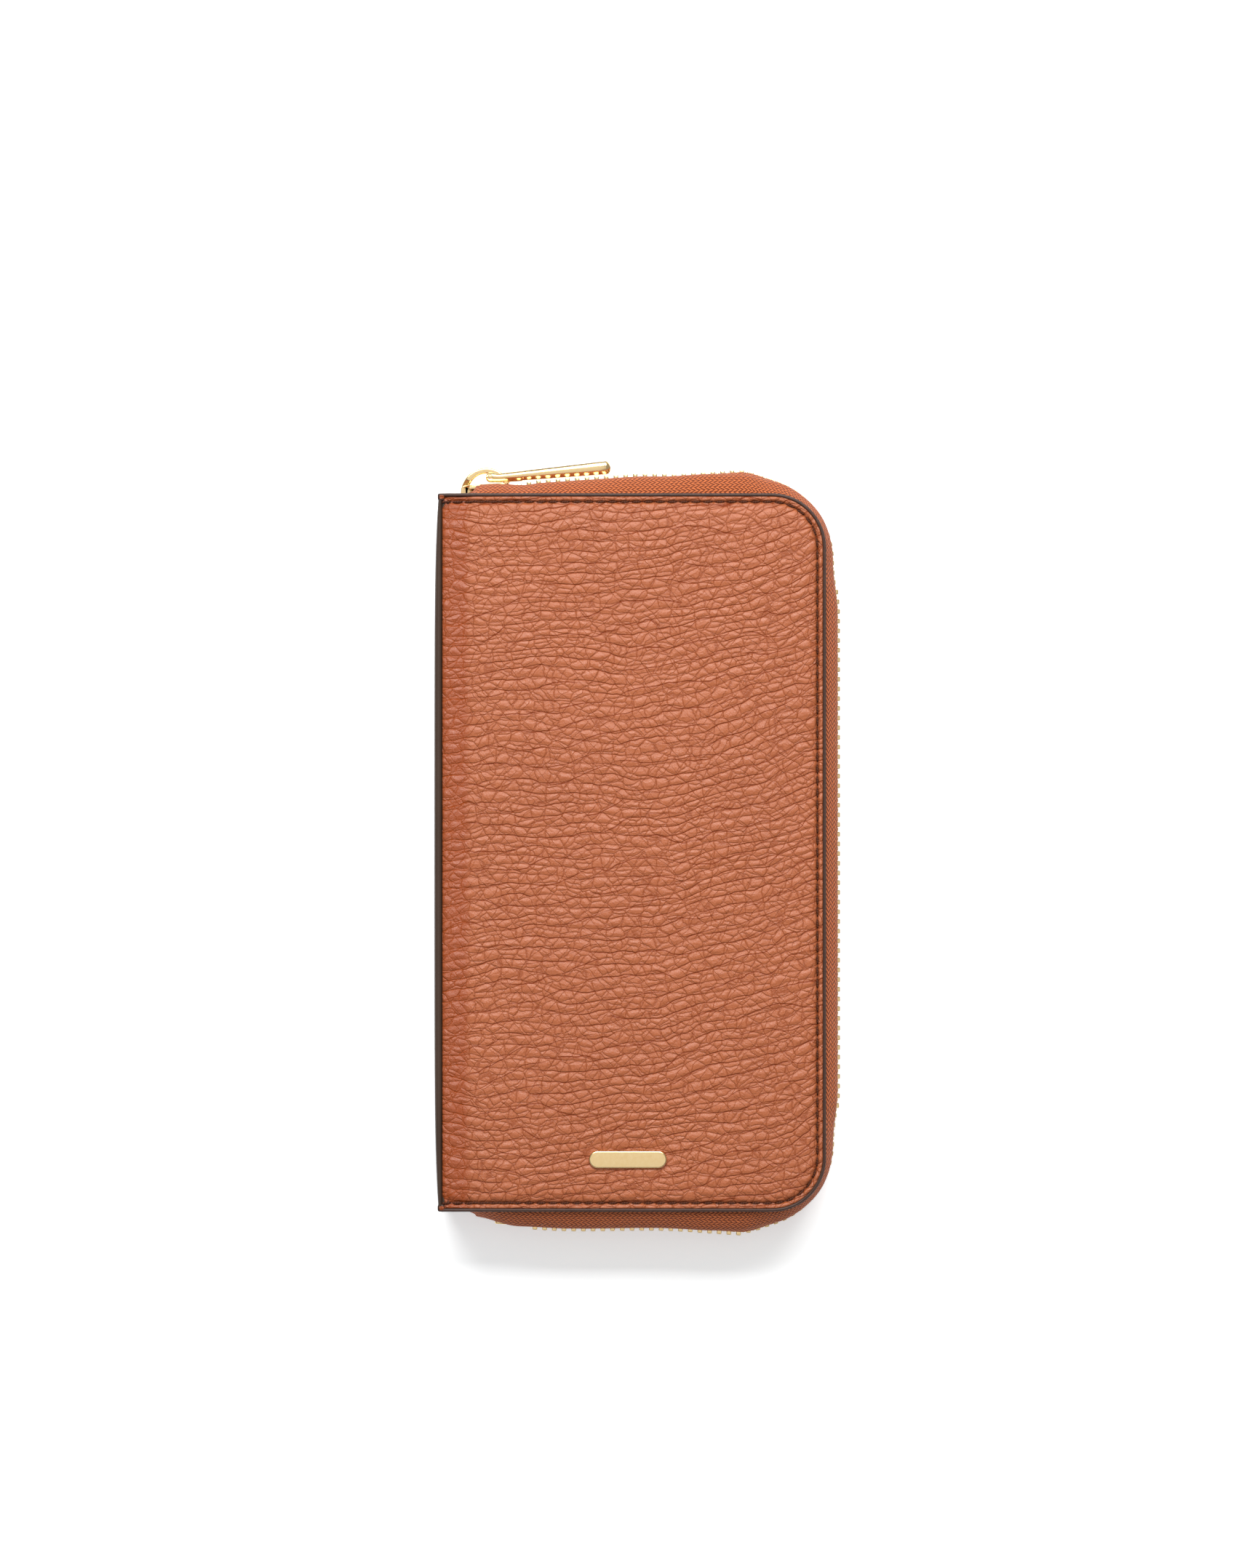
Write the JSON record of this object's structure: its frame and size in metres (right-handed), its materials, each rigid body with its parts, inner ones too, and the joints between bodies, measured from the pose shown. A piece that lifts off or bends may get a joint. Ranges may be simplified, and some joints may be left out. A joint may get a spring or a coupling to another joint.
{
  "type": "zip-around wallet",
  "caption": "Long leather zip-around wallet with a curved metal zip, a hoop slider with a bar puller, stepped card pockets and a zipped coin pocket.",
  "frame": {"origin": "middle of the back cover's outer face, where the wallet lies on a table", "axes": "+X from the spine to the zip side, +Y along the length towards the slider, +Z out of the front cover"},
  "size_m": [0.109, 0.2092, 0.0257],
  "materials": {
    "leather": "pebbled full grain, satin",
    "pocket_leather": "smooth, satin",
    "edge_paint": "smooth painted edge",
    "spine_leather": "smooth, satin",
    "thread": "waxed thread",
    "board": "fibre board",
    "lining": "fine woven lining",
    "zip_tape": "herringbone twill",
    "gold_metal": "polished"
  },
  "bodies": {
    "back_half": {"back_leather": "leather", "back_edge_paint": "edge_paint", "back_seam_thread": "thread", "back_board": "board", "back_lining": "lining", "back_zip_tape": "zip_tape", "back_zip_teeth": "gold_metal", "back_top_stop": "gold_metal", "bottom_stop": "gold_metal", "back_card_leaf_1": "pocket_leather", "back_card_leaf_2": "pocket_leather", "back_card_leaf_3": "pocket_leather", "back_card_leaf_4": "pocket_leather"},
    "spine": {"spine_strip": "spine_leather", "spine_board": "board", "spine_lining": "lining", "coin_back_wall": "pocket_leather", "coin_front_wall": "pocket_leather", "coin_gusset": "lining", "coin_zip_tapes": "zip_tape", "coin_zip_rows": "gold_metal", "coin_zip_stops": "gold_metal"},
    "front_half": {"front_leather": "leather", "front_edge_paint": "edge_paint", "front_seam_thread": "thread", "front_board": "board", "front_lining": "lining", "front_zip_tape": "zip_tape", "front_zip_teeth": "gold_metal", "front_top_stop": "gold_metal", "front_card_leaf_1": "pocket_leather", "front_card_leaf_2": "pocket_leather", "front_card_leaf_3": "pocket_leather", "front_card_leaf_4": "pocket_leather", "emblem": "gold_metal"},
    "slider": {"slider_body": "gold_metal", "slider_crown": "gold_metal"},
    "puller": {"puller": "gold_metal", "puller_pin": "gold_metal"},
    "coin_slider": {"coin_slider_body": "gold_metal", "coin_slider_pin": "gold_metal"},
    "coin_puller": {"coin_puller": "gold_metal"}
  },
  "joints": [
    {"name": "spine_fold", "type": "hinge", "parent": "back_half", "child": "spine", "pos_m": [-0.053, 0, 0], "axis": [0, -1, 0], "range_deg": [0, 90]},
    {"name": "cover_fold", "type": "hinge", "parent": "spine", "child": "front_half", "pos_m": [-0.053, 0, 0.025], "axis": [0, -1, 0], "range_deg": [0, 90]},
    {"name": "zip_slide", "type": "slide", "parent": "back_half", "child": "slider", "axis": [0.9978, 0.0663, 0], "range_m": [0, 0.061]},
    {"name": "puller_swing", "type": "hinge", "parent": "slider", "child": "puller", "pos_m": [-0.03844, 0.10145, 0.0125], "axis": [0, 0, 1], "range_deg": [0, 165]},
    {"name": "coin_zip_slide", "type": "slide", "parent": "spine", "child": "coin_slider", "axis": [0, -1, 0], "range_m": [0, 0.149]},
    {"name": "coin_puller_swing", "type": "hinge", "parent": "coin_slider", "child": "coin_puller", "pos_m": [0.03285, 0.075, 0.0125], "axis": [0, 0, 1], "range_deg": [0, 175]}
  ],
  "couplings": [
    {"joint": "cover_fold", "follows": "spine_fold", "ratio": 1}
  ]
}
